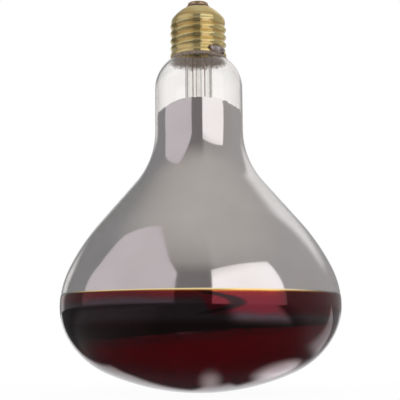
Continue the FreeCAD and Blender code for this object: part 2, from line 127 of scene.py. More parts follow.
def scattered(tree):
    """1 for the light that falls on a matt surface."""
    path = add_node(tree, "ShaderNodeLightPath")
    return calculate(tree, "MINIMUM", path.outputs["Diffuse Depth"], 1.0)


def measure(tree, operation, first, second=(0.0, 0.0, 0.0)):
    """The number that one vector node gives: a length, a distance or a dot product."""
    made = add_node(tree, "ShaderNodeVectorMath", {0: first, 1: second}, operation=operation)
    return made.outputs["Value"]


def stretched(tree, place, scale):
    """The place with each axis multiplied, so that a round patch becomes an oval one."""
    made = add_node(tree, "ShaderNodeVectorMath", {0: place, 1: scale}, operation="MULTIPLY")
    return made.outputs["Vector"]


def sector(tree, way, start, full, still, end):
    """1 between two bearings: rises from start to full and falls from still to end, in degrees."""
    rise = ease(tree, way, math.radians(start), math.radians(full))
    fall = ease(tree, way, math.radians(end), math.radians(still))
    return calculate(tree, "MULTIPLY", rise, fall)


def round_about(tree, way, stops):
    """The colour at a bearing, from stops of (degrees, colour) that run from -180 to 180."""
    turn = calculate(tree, "MULTIPLY_ADD", way, 0.5 / math.pi, 0.5)
    return ramp(tree, turn, [(degrees / 360 + 0.5, colour) for degrees, colour in stops])


def flat_sheet(name, corners, material):
    """One flat stage sheet through its corners, given in order round it."""
    mesh = bpy.data.meshes.new(name)
    mesh.from_pydata(corners, [], [tuple(range(len(corners)))])
    mesh.materials.append(material)
    sheet = bpy.data.objects.new(name, mesh)
    scene.collection.objects.link(sheet)
    return sheet


floor_gap = 0.0002
floor_reach = 3.0
lamp_light_share, all_white_from, all_white_to = 0.965, 0.16, 0.22
floor_paint = bpy.data.materials.new("floor_paint")
tree = bare_tree(floor_paint)
place = object_place(tree)
axes = split(tree, place)
reach = measure(tree, "LENGTH", place)
matt = add_node(tree, "ShaderNodeBsdfDiffuse", {"Color": (0.9, 0.9, 0.9, 1.0)})
white = add_node(tree, "ShaderNodeEmission", {"Color": (1.0, 1.0, 1.0, 1.0), "Strength": 1.0})
whiter = add_node(tree, "ShaderNodeMapRange", {"Value": reach, "From Min": all_white_from,
                                               "From Max": all_white_to, "To Min": lamp_light_share})
looked_at = add_node(tree, "ShaderNodeMixShader", {0: whiter.outputs[0], 1: matt.outputs[0],
                                                   2: white.outputs[0]})

# The table as glass and mirror see it: grey by bearing, with a painted shadow of the lamp round its foot
table_levels = [(-180, 0.08), (-115, 0.08), (-100, 0.20), (-60, 0.20), (-35, 0.16), (-25, 0.11),
                (60, 0.12), (80, 0.30), (180, 0.30)]
foot_painted_shadow, foot_from, foot_to = (0.06, 0.06, 0.065, 1.0), 0.052, 0.09
towards_camera = calculate(tree, "MULTIPLY", axes["Y"], -1.0)
front_way = calculate(tree, "ARCTAN2", axes["X"], towards_camera)
table = round_about(tree, front_way, [(at, (level, level, level)) for at, level in table_levels])
table = blend(tree, ease(tree, reach, foot_from, foot_to), foot_painted_shadow, table)

# Light that the right panel throws on the table, in front of the lamp and to its right
panel_light, panel_from, panel_to = (0.80, 0.76, 0.80, 1.0), 0.092, 0.135
panel_foot = calculate(tree, "MULTIPLY", sector(tree, front_way, 14, 27, 56, 64),
                       ease(tree, reach, panel_from, panel_to))
table = blend(tree, panel_foot, table, panel_light)

# White paper on the table: a wedge that starts under the lamp and opens away from the camera
wedge_apex = 0.11
edge_low, edge_high = -0.019, -0.010
shift_right, shift_back = 0.0065, -0.006
wedge_way = calculate(tree, "ARCTAN2", axes["X"], calculate(tree, "ADD", axes["Y"], wedge_apex))
wedge = sector(tree, wedge_way, -28, -24, 20, 29)
near_edge = calculate(tree, "MULTIPLY_ADD", ease(tree, axes["X"], -0.005, 0.003), shift_right,
                      axes["Y"])
near_edge = calculate(tree, "MULTIPLY_ADD", ease(tree, axes["X"], 0.012, 0.017), shift_back, near_edge)
behind = ease(tree, near_edge, edge_low, edge_high)
table = blend(tree, calculate(tree, "MULTIPLY", wedge, behind), table, (1.0, 1.0, 1.02, 1.0))

# White streak out to the right, then two painted patches of light: a long oval and a small glint
streak_middle, streak_from, streak_to = 0.036, 0.026, 0.010
off_streak = measure(tree, "DOT_PRODUCT", place, (-0.617, 0.787, 0.0))
off_streak = calculate(tree, "ABSOLUTE", calculate(tree, "ADD", off_streak, streak_middle))
streak = calculate(tree, "MULTIPLY", ease(tree, off_streak, streak_from, streak_to),
                   ease(tree, axes["X"], 0.062, 0.080))
table = blend(tree, streak, table, (1.0, 0.99, 1.01, 1.0))

oval_middle, oval_from, oval_to = (0.0402, 0.0074, 0.0), 0.015, 0.0055
oval_across, oval_along = (0.8, -0.6, 0.0), (0.372, 0.496, 0.0)
oval_place = add_node(tree, "ShaderNodeCombineXYZ", {"X": measure(tree, "DOT_PRODUCT", place, oval_across),
                                                     "Y": measure(tree, "DOT_PRODUCT", place, oval_along)})
off_oval = measure(tree, "DISTANCE", oval_place.outputs[0], oval_middle)
table = blend(tree, ease(tree, off_oval, oval_from, oval_to), table, (2.0, 1.95, 2.02, 1.0))

glint_middle, glint_squash, glint_reach = (0.0042, -0.0124, 0.0), 0.42, 0.0072
off_glint = measure(tree, "DISTANCE", stretched(tree, place, (1.0, glint_squash, 1.0)), glint_middle)
table = blend(tree, ease(tree, off_glint, glint_reach, 0.0), table, (1.15, 1.10, 1.12, 1.0))

table = blend(tree, scattered(tree), table, (0.6, 0.6, 0.6, 1.0))
table_light = add_node(tree, "ShaderNodeEmission", {"Color": table, "Strength": 1.0})
mixed = add_node(tree, "ShaderNodeMixShader", {0: mirrored(tree), 1: looked_at.outputs[0],
                                               2: table_light.outputs[0]})
add_node(tree, "ShaderNodeOutputMaterial", {"Surface": mixed.outputs[0]})
floor = flat_sheet("floor", [(-floor_reach, -floor_reach, 0), (floor_reach, -floor_reach, 0),
                             (floor_reach, floor_reach, 0), (-floor_reach, floor_reach, 0)], floor_paint)
floor.location.z = cad_box[0].z - floor_gap


def panel_paper(name, colour, foot, head):
    """Paper that glows in reflections and that the camera looks through, dimmer at foot and head.

    foot and head each give the height at which it is dim and the height at which it is full.
    """
    foot_share, head_share = 0.28, 0.7
    paper = bpy.data.materials.new(name)
    tree = bare_tree(paper)
    clear = add_node(tree, "ShaderNodeBsdfTransparent")
    height = split(tree, object_place(tree))["Z"]
    at_foot = calculate(tree, "MULTIPLY_ADD", ease(tree, height, *foot), 1 - foot_share, foot_share)
    at_head = calculate(tree, "MULTIPLY_ADD", ease(tree, height, *head), 1 - head_share, head_share)
    glow = add_node(tree, "ShaderNodeEmission", {"Color": (*colour, 1.0),
                                                 "Strength": calculate(tree, "MULTIPLY", at_foot, at_head)})
    shows = calculate(tree, "SUBTRACT", mirrored(tree), scattered(tree))
    mixed = add_node(tree, "ShaderNodeMixShader", {0: shows, 1: clear.outputs[0], 2: glow.outputs[0]})
    add_node(tree, "ShaderNodeOutputMaterial", {"Surface": mixed.outputs[0]})
    return paper


panel_bottom = -0.181
right_paper = panel_paper("bright_paper", (0.99, 0.96, 0.975), foot=(-0.30, -0.20), head=(0.25, 0.14))
flat_sheet("right_panel", [(0.078, -0.461, 0.235), (0.332, -0.144, 0.185),
                           (0.636, -0.256, panel_bottom), (0.160, -1.066, panel_bottom)], right_paper)
left_paper = panel_paper("lavender_paper", (0.55, 0.515, 0.54), foot=(-0.154, -0.128), head=(0.17, 0.13))
flat_sheet("left_panel", [(-0.119, -0.341, 0.1025), (-0.126, -0.272, 0.134), (-0.125, -0.062, 0.149),
                          (-0.204, 0.023, 0.083), (-0.428, 0.085, panel_bottom),
                          (-0.300, -0.840, panel_bottom)], left_paper)

# The tent round the lamp, by bearing, with two glowing sides behind it and a paler top
tent_round = [(-180, (0.95, 0.95, 0.95)), (-170, (0.80, 0.80, 0.80)), (-160, (0.26, 0.26, 0.26)),
              (-115, (0.24, 0.24, 0.245)), (-20, (0.18, 0.17, 0.17)), (8, (0.17, 0.16, 0.16)),
              (16, (0.30, 0.29, 0.29)), (115, (0.36, 0.35, 0.35)), (165, (0.38, 0.37, 0.37)),
              (172, (0.80, 0.80, 0.80)), (180, (0.95, 0.95, 0.95))]
tent_glow = (0.78, 0.77, 0.77, 1.0)
tent_above = (0.455, 0.435, 0.42, 1.0)
tent_scatter = (0.75, 0.75, 0.75, 1.0)
world = bpy.data.worlds.new("tent")
scene.world = world
tree = bare_tree(world)
way = split(tree, add_node(tree, "ShaderNodeTexCoord").outputs["Generated"])
bearing = calculate(tree, "ARCTAN2", way["X"], calculate(tree, "MULTIPLY", way["Y"], -1.0))
right_side = calculate(tree, "MULTIPLY", ease(tree, bearing, math.radians(130), math.radians(145)),
                       ease(tree, way["Z"], 0.22, 0.42))
left_side = calculate(tree, "MULTIPLY", sector(tree, bearing, -160, -152, -148, -140),
                      ease(tree, way["Z"], 0.33, 0.22))
glowing = calculate(tree, "ADD", right_side, left_side, clamp=True)
tent = blend(tree, glowing, round_about(tree, bearing, tent_round), tent_glow)
tent = blend(tree, ease(tree, way["Z"], 0.58, 1.04), tent, tent_above)
tent = blend(tree, scattered(tree), tent, tent_scatter)
tent_light = add_node(tree, "ShaderNodeBackground", {"Color": tent, "Strength": 1.0})
backdrop = add_node(tree, "ShaderNodeBackground", {"Color": (1.0, 1.0, 1.0, 1.0), "Strength": 1.0})
mixed = add_node(tree, "ShaderNodeMixShader", {0: mirrored(tree), 1: backdrop.outputs[0],
                                               2: tent_light.outputs[0]})
add_node(tree, "ShaderNodeOutputWorld", {"Surface": mixed.outputs[0]})


lamp_middle = Vector((0, 0, -0.09))


def soft_lamp(name, place, size, power):
    """A square area light that points at the lamp's middle and shows in no reflection."""
    light = bpy.data.lights.new(name, "AREA")
    light.shape = "SQUARE"
    light.size = size
    light.energy = power
    holder = bpy.data.objects.new(name, light)
    holder.location = place
    aim = lamp_middle - holder.location
    holder.rotation_euler = aim.to_track_quat("-Z", "Y").to_euler()
    holder.visible_glossy = False
    holder.visible_transmission = False
    holder.visible_camera = False
    scene.collection.objects.link(holder)


soft_lamp("key_lamp", (0.55, -0.55, 0.35), 0.5, 1.0)
soft_lamp("top_lamp", (0.0, 0.2, 0.8), 0.6, 1.4)

camera_place = (0.00014, -0.4687, -0.1566)
camera_lens = 92.32
camera_pitch = 7.571
camera_roll = 0.51
camera = bpy.data.objects.new("camera", bpy.data.cameras.new("camera"))
camera.data.lens = camera_lens
camera.location = camera_place
camera.rotation_euler = (Matrix.Rotation(math.radians(90 + camera_pitch), 3, "X")
                         @ Matrix.Rotation(math.radians(-camera_roll), 3, "Z")).to_euler()
scene.collection.objects.link(camera)
scene.camera = camera
scene.view_settings.view_transform = "Standard"

# Stem: a flared lead-glass tube squeezed flat round the leads, with the thin exhaust tube up
# its middle and a solid rod below. They are lamp-worked from clear glass and fused together.


def smooth_copy(name, node, crease=35.0):
    """The node's own surface with its loose triangles joined, smooth except at the creases."""
    source = nodes[node].data
    source.calc_loop_triangles()
    points = np.empty(len(source.vertices) * 3)
    source.vertices.foreach_get("co", points)
    corners = np.empty(len(source.loop_triangles) * 3, dtype=np.int32)
    source.loop_triangles.foreach_get("vertices", corners)
    merged, places = np.unique(np.round(points.reshape(-1, 3), 7), axis=0, return_inverse=True)
    faces = places.reshape(-1)[corners].reshape(-1, 3)
    first, second, third = faces.T
    whole = (first != second) & (second != third) & (third != first)
    mesh = bpy.data.meshes.new(name)
    mesh.from_pydata(merged.tolist(), [], faces[whole].tolist())
    mesh.polygons.foreach_set("use_smooth", np.ones(len(mesh.polygons), dtype=bool))
    mesh.set_sharp_from_angle(angle=math.radians(crease))
    mesh.update()
    return mesh


def place_piece(name, mesh, material, node):
    """Shows the mesh in place of the CAD node, which it hides, with its material, on the root body."""
    mesh.materials.append(material)
    piece = bpy.data.objects.new(name, mesh)
    scene.collection.objects.link(piece)
    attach(piece, "root")
    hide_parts(node)
    return piece


def principled(name):
    """A new material, its node tree and its one Principled shader."""
    material = bpy.data.materials.new(name)
    material.use_nodes = True
    tree = material.node_tree
    return material, tree, tree.nodes["Principled BSDF"]


def set_shader(tree, shader, **values):
    """Sets or links the shader's sockets; an underscore in a key stands for a space."""
    for key, value in values.items():
        socket = shader.inputs[key.replace("_", " ")]
        if isinstance(value, bpy.types.NodeSocket):
            tree.links.new(value, socket)
        else:
            socket.default_value = value


def new_group(name, inputs, outputs):
    """An empty node group with its sockets: pairs of name and kind, inputs also with a default."""
    group = bpy.data.node_groups.new(name, "ShaderNodeTree")
    for label, kind, value in inputs:
        socket = group.interface.new_socket(label, in_out="INPUT", socket_type="NodeSocket" + kind)
        if value is not None:
            socket.default_value = value
    for label, kind in outputs:
        group.interface.new_socket(label, in_out="OUTPUT", socket_type="NodeSocket" + kind)
    given = group.nodes.new("NodeGroupInput").outputs
    return group, given, group.nodes.new("NodeGroupOutput").inputs


# Soft patches from a dark tone to a light one, with a roughness of their own and a height
patches, given, gives = new_group(
    "patches", [("Place", "Vector", None), ("Scale", "Float", 100.0), ("Dark", "Color", (0, 0, 0, 1)),
                ("Light", "Color", (1, 1, 1, 1)), ("Dark Roughness", "Float", 0.5),
                ("Light Roughness", "Float", 0.3)],
    [("Colour", "Color"), ("Roughness", "Float"), ("Height", "Float")])
patch_low, patch_high = 0.34, 0.66
cloud = add_node(patches, "ShaderNodeTexNoise", {"Vector": given["Place"], "Scale": given["Scale"],
                                                 "Detail": 4.0})
patch = add_node(patches, "ShaderNodeMapRange", {"Value": cloud.outputs["Fac"], "From Min": patch_low,
                                                 "From Max": patch_high}).outputs[0]
gloss = add_node(patches, "ShaderNodeMix", {0: patch, 2: given["Dark Roughness"],
                                            3: given["Light Roughness"]}, data_type="FLOAT")
patches.links.new(blend(patches, patch, given["Dark"], given["Light"]), gives["Colour"])
patches.links.new(gloss.outputs[0], gives["Roughness"])
patches.links.new(cloud.outputs["Fac"], gives["Height"])


def patchy(name, scale, dark, light, roughness=(0.5, 0.3)):
    """A new material, its tree and shader, and its patches' Colour, Roughness and Height."""
    material, tree, shader = principled(name)
    at = {"Place": object_place(tree), "Scale": scale, "Dark": (*dark, 1), "Light": (*light, 1),
          "Dark Roughness": roughness[0], "Light Roughness": roughness[1]}
    return material, tree, shader, add_node(tree, "ShaderNodeGroup", at, node_tree=patches).outputs


def patchy_metal(name, scale, dark, light, roughness):
    """Metal whose colour and gloss both follow the patches."""
    material, tree, shader, drawn = patchy(name, scale, dark, light, roughness)
    set_shader(tree, shader, Base_Color=drawn["Colour"], Metallic=1.0, Roughness=drawn["Roughness"])
    return material


def bumped(tree, height, strength, distance):
    """The normal of a surface that follows the patches' height."""
    made = add_node(tree, "ShaderNodeBump", {"Strength": strength, "Distance": distance, "Height": height})
    return made.outputs[0]


stem_glass, tree, shader, streak = patchy("stem_glass", 220.0, (0.95, 0.945, 0.93), (0.99, 0.985, 0.975))
set_shader(tree, shader, Base_Color=streak["Colour"], Roughness=0.02, IOR=1.24, Transmission_Weight=1.0,
           Normal=bumped(tree, streak["Height"], 0.08, 0.0004))
for node in ("stem_flare", "exhaust_tube", "arbor_rod"):
    place_piece(node + "_glass", smooth_copy(node + "_glass", node), stem_glass, node)

# Leads: copper outside the lamp, red copper-sheathed wire through the squeezed glass, and stiff
# nickel wire inside. Each lead is three lengths of drawn wire welded end to end.


def wire_metal(name, colour, dark, roughness):
    """Drawn metal, darker in fine lines and dull patches."""
    return patchy_metal(name, 900.0, dark, colour, (roughness + 0.12, roughness))


def dress(node, material):
    """Gives the CAD node its finish and keeps its mesh."""
    nodes[node].data.materials.clear()
    nodes[node].data.materials.append(material)


lead_copper = wire_metal("lead_copper", (0.82, 0.66, 0.56), (0.56, 0.43, 0.35), 0.26)
seal_metal = wire_metal("seal_metal", (0.86, 0.76, 0.70), (0.70, 0.60, 0.54), 0.34)
lead_nickel = wire_metal("lead_nickel", (0.86, 0.84, 0.80), (0.66, 0.64, 0.61), 0.30)
for end in ("centre", "side"):
    dress("outer_lead_" + end, lead_copper)
    dress("seal_wire_" + end, seal_metal)
    dress("inner_lead_" + end, lead_nickel)

# Filament: tungsten wire wound into a close coil, clamped to the two inner leads and bent into
# an open ring. Four molybdenum hooks, set in the glass button, carry it.
ring_radius, ring_depth = 0.013, 0.103
ring_turn, ring_gap = -46.0, 31.0
coil_turn_radius, coil_pitch, coil_wire = 0.0009, 0.00044, 0.00014
steps_per_turn, wire_sides = 14, 6


def full_turn(count):
    """Even angles round the axis, the first not repeated at the end."""
    return np.linspace(0, 2 * np.pi, count, endpoint=False)


def tube_round(path, outward, radius, sides):
    """Rings of points round a path: centre plus radius times (cos a * normal + sin a * binormal).

    The normal is the outward direction with its part along the path taken away.
    """
    along = np.gradient(path, axis=0)
    along /= np.linalg.norm(along, axis=1, keepdims=True)
    normal = outward - (outward * along).sum(1, keepdims=True) * along
    normal /= np.linalg.norm(normal, axis=1, keepdims=True)
    binormal = np.cross(along, normal)
    angle = full_turn(sides)[None, :, None]
    return path[:, None] + radius * (np.cos(angle) * normal[:, None] + np.sin(angle) * binormal[:, None])


def skin_mesh(name, grid, ends="poles", flip=False):
    """A smooth closed mesh over a grid of points whose columns run round.

    ends is "poles" where the first and last rows shrink to a middle point each, and "ring"
    where the last row joins the first.
    """
    rows, columns = grid.shape[:2]
    points = grid.reshape(-1, 3)
    index = np.arange(rows * columns).reshape(rows, columns)
    right = np.roll(index, -1, axis=1)
    if ends == "ring":
        index = np.vstack([index, index[:1]])
        right = np.vstack([right, right[:1]])
    quads = np.stack([index[:-1], right[:-1], right[1:], index[1:]], -1).reshape(-1, 4)
    faces = quads[:, ::-1].tolist() if flip else quads.tolist()
    if ends == "poles":
        middles = np.stack([grid[0].mean(0), grid[-1].mean(0)])
        points = np.vstack([points, middles])
        first = np.stack([right[0], index[0], np.full(columns, rows * columns)], -1)
        last = np.stack([index[-1], right[-1], np.full(columns, rows * columns + 1)], -1)
        fans = np.vstack([first, last])
        faces += (fans[:, ::-1] if flip else fans).tolist()
    mesh = bpy.data.meshes.new(name)
    mesh.from_pydata(points.tolist(), [], faces)
    mesh.polygons.foreach_set("use_smooth", np.ones(len(mesh.polygons), dtype=bool))
    mesh.update()
    return mesh


ring_start = math.radians(90 + ring_turn + ring_gap)
ring_sweep = math.radians(360 - 2 * ring_gap)
turns = round(ring_radius * ring_sweep / coil_pitch)
share = np.linspace(0, 1, turns * steps_per_turn + 1)
bearing = ring_start + ring_sweep * share
wind = 2 * np.pi * turns * share
from_axis = np.stack([np.cos(bearing), np.sin(bearing), np.zeros_like(bearing)], -1)
outward = from_axis * np.cos(wind)[:, None] + np.array([0, 0, 1.0]) * np.sin(wind)[:, None]
coil_path = from_axis * ring_radius + np.array([0, 0, -ring_depth]) + outward * coil_turn_radius
coil = skin_mesh("filament_coil", tube_round(coil_path, outward, coil_wire, wire_sides))
tungsten = wire_metal("tungsten", (0.34, 0.34, 0.36), (0.20, 0.20, 0.22), 0.30)
place_piece("filament_coil", coil, tungsten, "filament")
hook_metal = wire_metal("hook_metal", (0.55, 0.55, 0.57), (0.36, 0.36, 0.38), 0.26)
for number in range(1, 5):
    dress("support_wire_%d" % number, hook_metal)

# Bulb: one blown shell of hard glass, from the low dome of the face up the cone to the neck,
# its round shoulder and the narrow collar that is fused to the stem.
glass_wall = 0.0008
widest_radius, widest_depth = 0.0634, 0.1429
face_arc, haunch_arc, haunch_end = 0.104, 0.0372, math.radians(60)
lower_side_arc, upper_side_arc, upper_side_turn = 0.0286, 0.0382, math.radians(25.5)
flank_arc, cone_angle = 0.094, math.radians(40.7)
neck_sweep_arc, neck_radius = 0.0376, 0.0204
shoulder_arc, shoulder_gap = 0.0165, 0.00104
collar_radius, collar_fillet, collar_top = 0.011, 0.003, 0.022
rim_radius, cap_length = 0.01315, 0.027


def bulb_walk():
    """Radius, depth and heading at even steps along the bulb's outer line, pole to collar.

    The line is arcs and straight runs, each tangent to the last. An arc of radius R that
    turns the heading from a to b moves the point by R * (sin b - sin a) outwards and by
    R * (cos a - cos b) upwards.
    """
    haunch_radius = widest_radius - lower_side_arc * (1 - math.sin(haunch_end))
    face_turn = math.asin((haunch_radius - haunch_arc * math.sin(haunch_end)) / (face_arc - haunch_arc))
    pole = (widest_depth + lower_side_arc * math.cos(haunch_end)
            + haunch_arc * (math.cos(face_turn) - math.cos(haunch_end))
            + face_arc * (1 - math.cos(face_turn)))
    flank_radius = widest_radius - upper_side_arc * (1 - math.cos(upper_side_turn))
    cone_radius = flank_radius - flank_arc * (math.cos(upper_side_turn) - math.cos(cone_angle))
    cone_end = neck_radius + neck_sweep_arc * (1 - math.cos(cone_angle))
    cone_run = (cone_radius - cone_end) / math.sin(cone_angle)
    neck_depth = (widest_depth - upper_side_arc * math.sin(upper_side_turn)
                  - flank_arc * (math.sin(cone_angle) - math.sin(upper_side_turn))
                  - cone_run * math.cos(cone_angle) - neck_sweep_arc * math.sin(cone_angle))
    shoulder_depth = cap_length + math.sqrt(
        (shoulder_arc + shoulder_gap) ** 2 - (rim_radius - neck_radius + shoulder_arc) ** 2)
    collar_turn = math.acos((collar_radius - neck_radius + shoulder_arc + collar_fillet)
                            / (shoulder_arc + collar_fillet))
    collar_start = shoulder_depth - (shoulder_arc + collar_fillet) * math.sin(collar_turn)
    moves = [(face_arc, face_turn), (haunch_arc, haunch_end - face_turn),
             (lower_side_arc, math.pi / 2 - haunch_end), (upper_side_arc, upper_side_turn),
             (flank_arc, cone_angle - upper_side_turn), (cone_run, 0.0), (neck_sweep_arc, -cone_angle),
             (neck_depth - shoulder_depth, 0.0), (shoulder_arc, collar_turn),
             (collar_fillet, -collar_turn), (collar_start - collar_top, 0.0)]
    radius, depth, heading = 0.0, pole, 0.0
    pieces_of_line = []
    for size, turn in moves:
        run = size if turn == 0 else size * abs(turn)
        step = np.linspace(0, 1, max(8, int(run / 0.0001)))
        ways = heading + turn * step
        if turn == 0:
            radii = radius + size * step * math.cos(heading)
            depths = depth - size * step * math.sin(heading)
        else:
            side = math.copysign(1, turn)
            radii = radius + side * size * (np.sin(ways) - math.sin(heading))
            depths = depth - side * size * (math.cos(heading) - np.cos(ways))
        pieces_of_line.append(np.stack([radii, depths, ways], -1)[:-1])
        radius, depth, heading = radii[-1], depths[-1], ways[-1]
    pieces_of_line.append(np.array([[radius, depth, heading]]))
    return np.vstack(pieces_of_line)


bulb_line = bulb_walk()
line_steps = np.linalg.norm(np.diff(bulb_line[:, :2], axis=0), axis=1)
line_length = np.concatenate([[0], np.cumsum(line_steps)])


def along_bulb(run, inset):
    """Radius and height at a run along the bulb's line, moved inwards by inset."""
    heading = np.interp(run, line_length, bulb_line[:, 2])
    radius = np.interp(run, line_length, bulb_line[:, 0]) - inset * np.sin(heading)
    depth = np.interp(run, line_length, bulb_line[:, 1]) - inset * np.cos(heading)
    return radius, -depth


def run_at_depth(depth):
    """The run along the bulb's line, above the face, at which it reaches a depth."""
    return np.interp(-depth, -bulb_line[:, 1], line_length)


def turned(radius, height, columns):
    """Points of a profile turned round the axis: (r cos a, r sin a, z), one row per point."""
    angle = full_turn(columns)
    radius = np.asarray(radius).reshape(len(radius), -1)
    height = np.asarray(height).reshape(len(height), -1)
    return np.stack(np.broadcast_arrays(radius * np.cos(angle), radius * np.sin(angle), height), -1)


def two_faced(front, back, columns):
    """Points of a thin skin turned round the axis: out along its front, then home along its back."""
    radius, height = (np.concatenate(pair) for pair in zip(front, back))
    return turned(radius, height, columns)


bulb_columns = 180
pole_gap = 0.0006
line_end = line_length[-1]
neck_start = line_end * 0.64
runs = np.concatenate([np.linspace(pole_gap, neck_start, 90, endpoint=False),
                       np.linspace(neck_start, line_end, 70)])
outer = along_bulb(runs, 0.0)
inner = along_bulb(runs[::-1], glass_wall)
bulb_shell = skin_mesh("blown_bulb", two_faced(outer, inner, bulb_columns))
bulb_glass, tree, shader, waver = patchy("bulb_glass", 45.0, (0.970, 0.955, 0.938), (0.992, 0.982, 0.970))
set_shader(tree, shader, Base_Color=waver["Colour"], Roughness=0.0, IOR=1.46, Transmission_Weight=1.0,
           Normal=bumped(tree, waver["Height"], 0.08, 0.0003))
place_piece("blown_bulb", bulb_shell, bulb_glass, "glass_bulb")

# Mirror: aluminium evaporated on the inside of the cone and neck. Its upper edge is wavy,
# where the vapour thinned out, and its lower edge ends behind the lacquer's band of painted dark reflection.
film_columns = 240
film_top, film_bottom = 0.0524, 0.1555
film_front, film_back = 0.00085, 0.00104
angle = full_turn(film_columns)
edge_turn = [0, 60, 120, 180, 206, 219, 229, 238, 250, 270, 290, 304, 313, 324, 340, 360]
edge_fall_mm = [1.5, 2.2, 2.6, 2.5, 2.0, 0.9, 0.0, -1.3, -1.8, -2.1, -2.1, -1.6, -0.4, 0.7, 0.9, 1.5]
edge_softness = 7
fall = np.interp(np.degrees(angle), edge_turn, edge_fall_mm) * 0.001
fall = np.mean([np.roll(fall, shift) for shift in range(-edge_softness, edge_softness + 1)], axis=0)
speckled = 0.00022 * np.sin(37 * angle) * np.clip(np.cos(angle - 5.6), 0, 1)
film_top_edge = film_top + fall + speckled + 0.00008 * np.sin(23 * angle)
film_low_edge = film_bottom - 0.0003 - 0.0035 * np.cos(angle + 0.1) + 0.0004 * np.sin(5 * angle)
low_run = run_at_depth(film_low_edge)
top_run = run_at_depth(film_top_edge)
share = np.linspace(0, 1, 110)[:, None]
film_run = low_run + (top_run - low_run) * share
taper_share, taper_length = 0.44, 0.02
taper = 1 - np.clip(np.minimum(share, 1 - share) / taper_length, 0, 1)
taper = taper_share * (film_back - film_front) * taper
front = along_bulb(film_run, film_front + taper)
back = along_bulb(film_run[::-1], film_back - taper[::-1])
film = skin_mesh("mirror_film", two_faced(front, back, film_columns), ends="ring")
film.set_sharp_from_angle(angle=math.radians(30))
mirror_metal = patchy_metal("mirror_metal", 60.0, (0.90, 0.89, 0.90), (0.94, 0.93, 0.94), (0.10, 0.07))
place_piece("mirror_film", film, mirror_metal, "reflector_film")

# Red lacquer: the outside of the face and haunch, dipped up to 5 mm over the widest ring, past the
# mirror's lower edge. It is clear ruby, thin and golden at its upper edge and deeper lower down;
# its colour also holds a painted highlight along the edge and painted dark reflections below it.
lacquer_top = 0.1377
lacquer_front, lacquer_back = -0.00015, 0.00004
lacquer_tilt = 0.007
thinning_length = 0.0016
lacquer_edge = lacquer_top + widest_radius * lacquer_tilt * np.cos(angle) + 0.00015 * np.sin(2 * angle + 0.5)
share = np.linspace(0, 1, 90)[:, None]
lacquer_run = pole_gap + (run_at_depth(lacquer_edge) - pole_gap) * share
thick = np.clip((lacquer_run[-1] - lacquer_run) / thinning_length, 0, 1) ** 0.7
front = along_bulb(lacquer_run, lacquer_front * thick)
back = along_bulb(lacquer_run[::-1], lacquer_back)
lacquer_skin = skin_mesh("lacquer_skin", two_faced(front, back, film_columns))

ruby, tree, shader = principled("ruby_lacquer")
place = object_place(tree)
at = split(tree, place)
depth_here = calculate(tree, "MULTIPLY", at["Z"], -1.0)

# Golden fringe at the edge, crimson below it, darker to the left and to the far right
fringe_span = 0.01
edge_here = calculate(tree, "MULTIPLY_ADD", at["X"], lacquer_tilt, lacquer_top)
below_edge = calculate(tree, "SUBTRACT", depth_here, edge_here)
below_edge = calculate(tree, "MULTIPLY", below_edge, 1.0 / fringe_span)
upper = ramp(tree, below_edge, [(0.0, (1.0, 0.97, 0.86)), (0.05, (1.0, 0.88, 0.55)),
                                (0.09, (0.72, 0.34, 0.10)), (0.14, (0.54, 0.08, 0.07)),
                                (0.35, (0.46, 0.05, 0.12)), (0.9, (0.43, 0.035, 0.11))])
left_red, right_red = (0.39, 0.030, 0.050, 1.0), (0.33, 0.050, 0.070, 1.0)
under_fringe = ease(tree, below_edge, 0.0, 0.14)
upper = blend(tree, ease(tree, at["X"], 0.004, -0.030), upper, blend(tree, under_fringe, upper, left_red))
upper = blend(tree, ease(tree, at["X"], 0.029, 0.037), upper, blend(tree, under_fringe, upper, right_red))

# Band of painted dark reflection below the fringe, grey-lavender at its top and dark red lower: its wavy
# start lies lower on the right
painted_dark_depth, painted_dark_drop_right = 0.1410, 0.0066
waviness = 0.005
wave_noise = add_node(tree, "ShaderNodeTexNoise", {"Vector": place, "Scale": 28.0, "Detail": 2.0,
                                                   "Distortion": 0.6})
wave = calculate(tree, "MULTIPLY_ADD", wave_noise.outputs["Fac"], waviness, -waviness / 2)
painted_dark_start = calculate(tree, "MULTIPLY_ADD", ease(tree, at["X"], -0.001, 0.005), painted_dark_drop_right,
                        painted_dark_depth)
painted_dark_start = calculate(tree, "ADD", wave, painted_dark_start)
painted_dark_band = ease(tree, calculate(tree, "SUBTRACT", depth_here, painted_dark_start), -0.0015, 0.002)
painted_dark_tone = blend(tree, ease(tree, depth_here, 0.1485, 0.1530), (0.265, 0.215, 0.24, 1.0),
                   (0.14, 0.04, 0.05, 1.0))
lacquer_with_painted_dark = blend(tree, painted_dark_band, upper, painted_dark_tone)

# Painted dark reflection in the band: a hook that bulges to the right, X = tip - sweep * ((depth - middle) /
# half)^2
painted_hook_tone, painted_hook_share = (0.09, 0.020, 0.028, 1.0), 0.88
hook_middle, hook_half, hook_tip, hook_sweep = 0.1433, 0.0037, 0.0148, 0.0105
off_middle = calculate(tree, "MULTIPLY_ADD", depth_here, 1 / hook_half, -hook_middle / hook_half)
hook = calculate(tree, "MULTIPLY_ADD", calculate(tree, "POWER", off_middle, 2.0), hook_sweep, -hook_tip)
off_hook = calculate(tree, "ABSOLUTE", calculate(tree, "ADD", hook, at["X"]))
painted_hook = calculate(tree, "MULTIPLY", ease(tree, off_hook, 0.0048, 0.0016),
                   ease(tree, at["X"], -0.004, 0.004))
lacquer_with_painted_dark = blend(tree, calculate(tree, "MULTIPLY", painted_hook, painted_hook_share), lacquer_with_painted_dark, painted_hook_tone)

